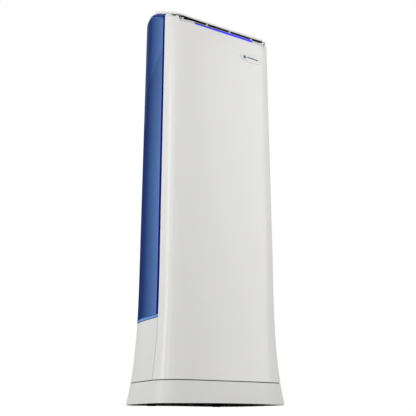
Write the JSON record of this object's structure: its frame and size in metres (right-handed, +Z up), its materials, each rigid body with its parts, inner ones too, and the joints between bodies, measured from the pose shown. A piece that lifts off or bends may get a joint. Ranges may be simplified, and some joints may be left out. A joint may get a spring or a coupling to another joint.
{
  "type": "evaporative cooler",
  "caption": "Tower evaporative cooler: white shell on a flared foot, blue side water tank, domed hood over a lit front air outlet, pull-out wet pad cassette at the back.",
  "frame": {"origin": "centre of the bounding box at the ground, under the middle of the foot", "axes": "+Z up and along the longest extent, front face with the air outlet towards -Y, water tank on the -X side"},
  "size_m": [0.3828, 0.3138, 1.1437],
  "materials": {
    "base_skirt": "satin moulded plastic",
    "base_pan": "moulded plastic",
    "foot": "matt rubber",
    "front_shell": "satin pearl white",
    "rear_shell": "satin moulded plastic",
    "hood": "satin moulded plastic",
    "mouth_frame": "satin moulded plastic",
    "led_bar": "frosted light guide, lit blue",
    "badge": "brushed plate, plain",
    "tank_body": "translucent blue plastic",
    "tank_fitting": "moulded plastic",
    "valve_pin": "rubber seal on a stem",
    "tank_bay": "moulded plastic",
    "inner_frame": "moulded plastic",
    "pad_frame": "moulded plastic",
    "wet_pad": "corrugated cellulose",
    "dust_filter": "fine mesh in a frame",
    "rear_grille": "satin moulded plastic",
    "distributor": "moulded plastic",
    "riser_hose": "clear hose",
    "pump_body": "moulded plastic",
    "pump_strainer": "moulded plastic",
    "pump_impeller": "moulded plastic",
    "float_bracket": "moulded plastic",
    "float_arm": "moulded plastic",
    "fan_deck": "moulded plastic",
    "fan_wheel": "moulded plastic",
    "fan_motor": "plated can",
    "motor_bracket": "zinc-plated strip",
    "air_guide": "moulded plastic",
    "control_panel": "gloss overlay",
    "button": "satin moulded plastic",
    "control_board": "circuit board",
    "board_carrier": "moulded plastic",
    "power_box": "moulded plastic",
    "power_inlet": "moulded plastic",
    "mains_lead": "insulated lead",
    "drain_plug": "soft plug"
  },
  "bodies": {
    "body": {"base_skirt": "base_skirt", "base_pan": "base_pan", "foot_1": "foot", "foot_2": "foot", "foot_3": "foot", "foot_4": "foot", "front_shell": "front_shell", "rear_shell": "rear_shell", "hood": "hood", "mouth_frame": "mouth_frame", "led_bar": "led_bar", "badge": "badge", "tank_bay": "tank_bay", "tank_socket": "tank_fitting", "inner_frame": "inner_frame", "distributor": "distributor", "riser_hose": "riser_hose", "pump_body": "pump_body", "pump_strainer": "pump_strainer", "float_bracket": "float_bracket", "fan_deck": "fan_deck", "fan_motor": "fan_motor", "motor_bracket": "motor_bracket", "air_guide": "air_guide", "control_panel": "control_panel", "control_board": "control_board", "board_carrier": "board_carrier", "power_box": "power_box", "power_inlet": "power_inlet", "mains_lead": "mains_lead"},
    "tank": {"tank_body": "tank_body", "tank_back": "tank_body", "tank_spout": "tank_fitting"},
    "cap": {"tank_cap": "tank_fitting"},
    "valve": {"valve_pin": "valve_pin"},
    "cassette": {"pad_frame": "pad_frame", "wet_pad": "wet_pad", "dust_filter": "dust_filter", "rear_grille": "rear_grille"},
    "fan": {"fan_wheel": "fan_wheel"},
    "impeller": {"pump_impeller": "pump_impeller"},
    "float": {"float_arm": "float_arm"},
    "plug": {"drain_plug": "drain_plug"},
    "key_1": {"button_1": "button"},
    "key_2": {"button_2": "button"},
    "key_3": {"button_3": "button"},
    "key_4": {"button_4": "button"}
  },
  "joints": [
    {"name": "tank_slide", "type": "slide", "parent": "body", "child": "tank", "axis": [-1, 0, 0], "range_m": [0, 0.16]},
    {"name": "cap_turn", "type": "hinge", "parent": "tank", "child": "cap", "pos_m": [-0.115, 0.003, 1.03], "axis": [1, 0, 0], "range_deg": [0, 90]},
    {"name": "valve_press", "type": "slide", "parent": "tank", "child": "valve", "axis": [-1, 0, 0], "range_m": [0, 0.004], "stiffness_N_per_m": 150, "springref_m": -0.002},
    {"name": "cassette_slide", "type": "slide", "parent": "body", "child": "cassette", "axis": [0, 1, 0], "range_m": [0, 0.12]},
    {"name": "fan_spin", "type": "hinge", "parent": "body", "child": "fan", "pos_m": [0, 0.004, 0.9], "axis": [0, 0, 1], "continuous": true},
    {"name": "impeller_spin", "type": "hinge", "parent": "body", "child": "impeller", "pos_m": [0.04, 0.02, 0.02], "axis": [0, 0, 1], "continuous": true},
    {"name": "float_swing", "type": "hinge", "parent": "body", "child": "float", "pos_m": [-0.045, -0.06, 0.047], "axis": [1, 0, 0], "range_deg": [-12, 15]},
    {"name": "plug_pull", "type": "slide", "parent": "body", "child": "plug", "axis": [0, 1, 0], "range_m": [0, 0.03]},
    {"name": "key_1_press", "type": "slide", "parent": "body", "child": "key_1", "axis": [0, 0, -1], "range_m": [0, 0.001], "stiffness_N_per_m": 300, "springref_m": -0.0008},
    {"name": "key_2_press", "type": "slide", "parent": "body", "child": "key_2", "axis": [0, 0, -1], "range_m": [0, 0.001], "stiffness_N_per_m": 300, "springref_m": -0.0008},
    {"name": "key_3_press", "type": "slide", "parent": "body", "child": "key_3", "axis": [0, 0, -1], "range_m": [0, 0.001], "stiffness_N_per_m": 300, "springref_m": -0.0008},
    {"name": "key_4_press", "type": "slide", "parent": "body", "child": "key_4", "axis": [0, 0, -1], "range_m": [0, 0.001], "stiffness_N_per_m": 300, "springref_m": -0.0008}
  ]
}
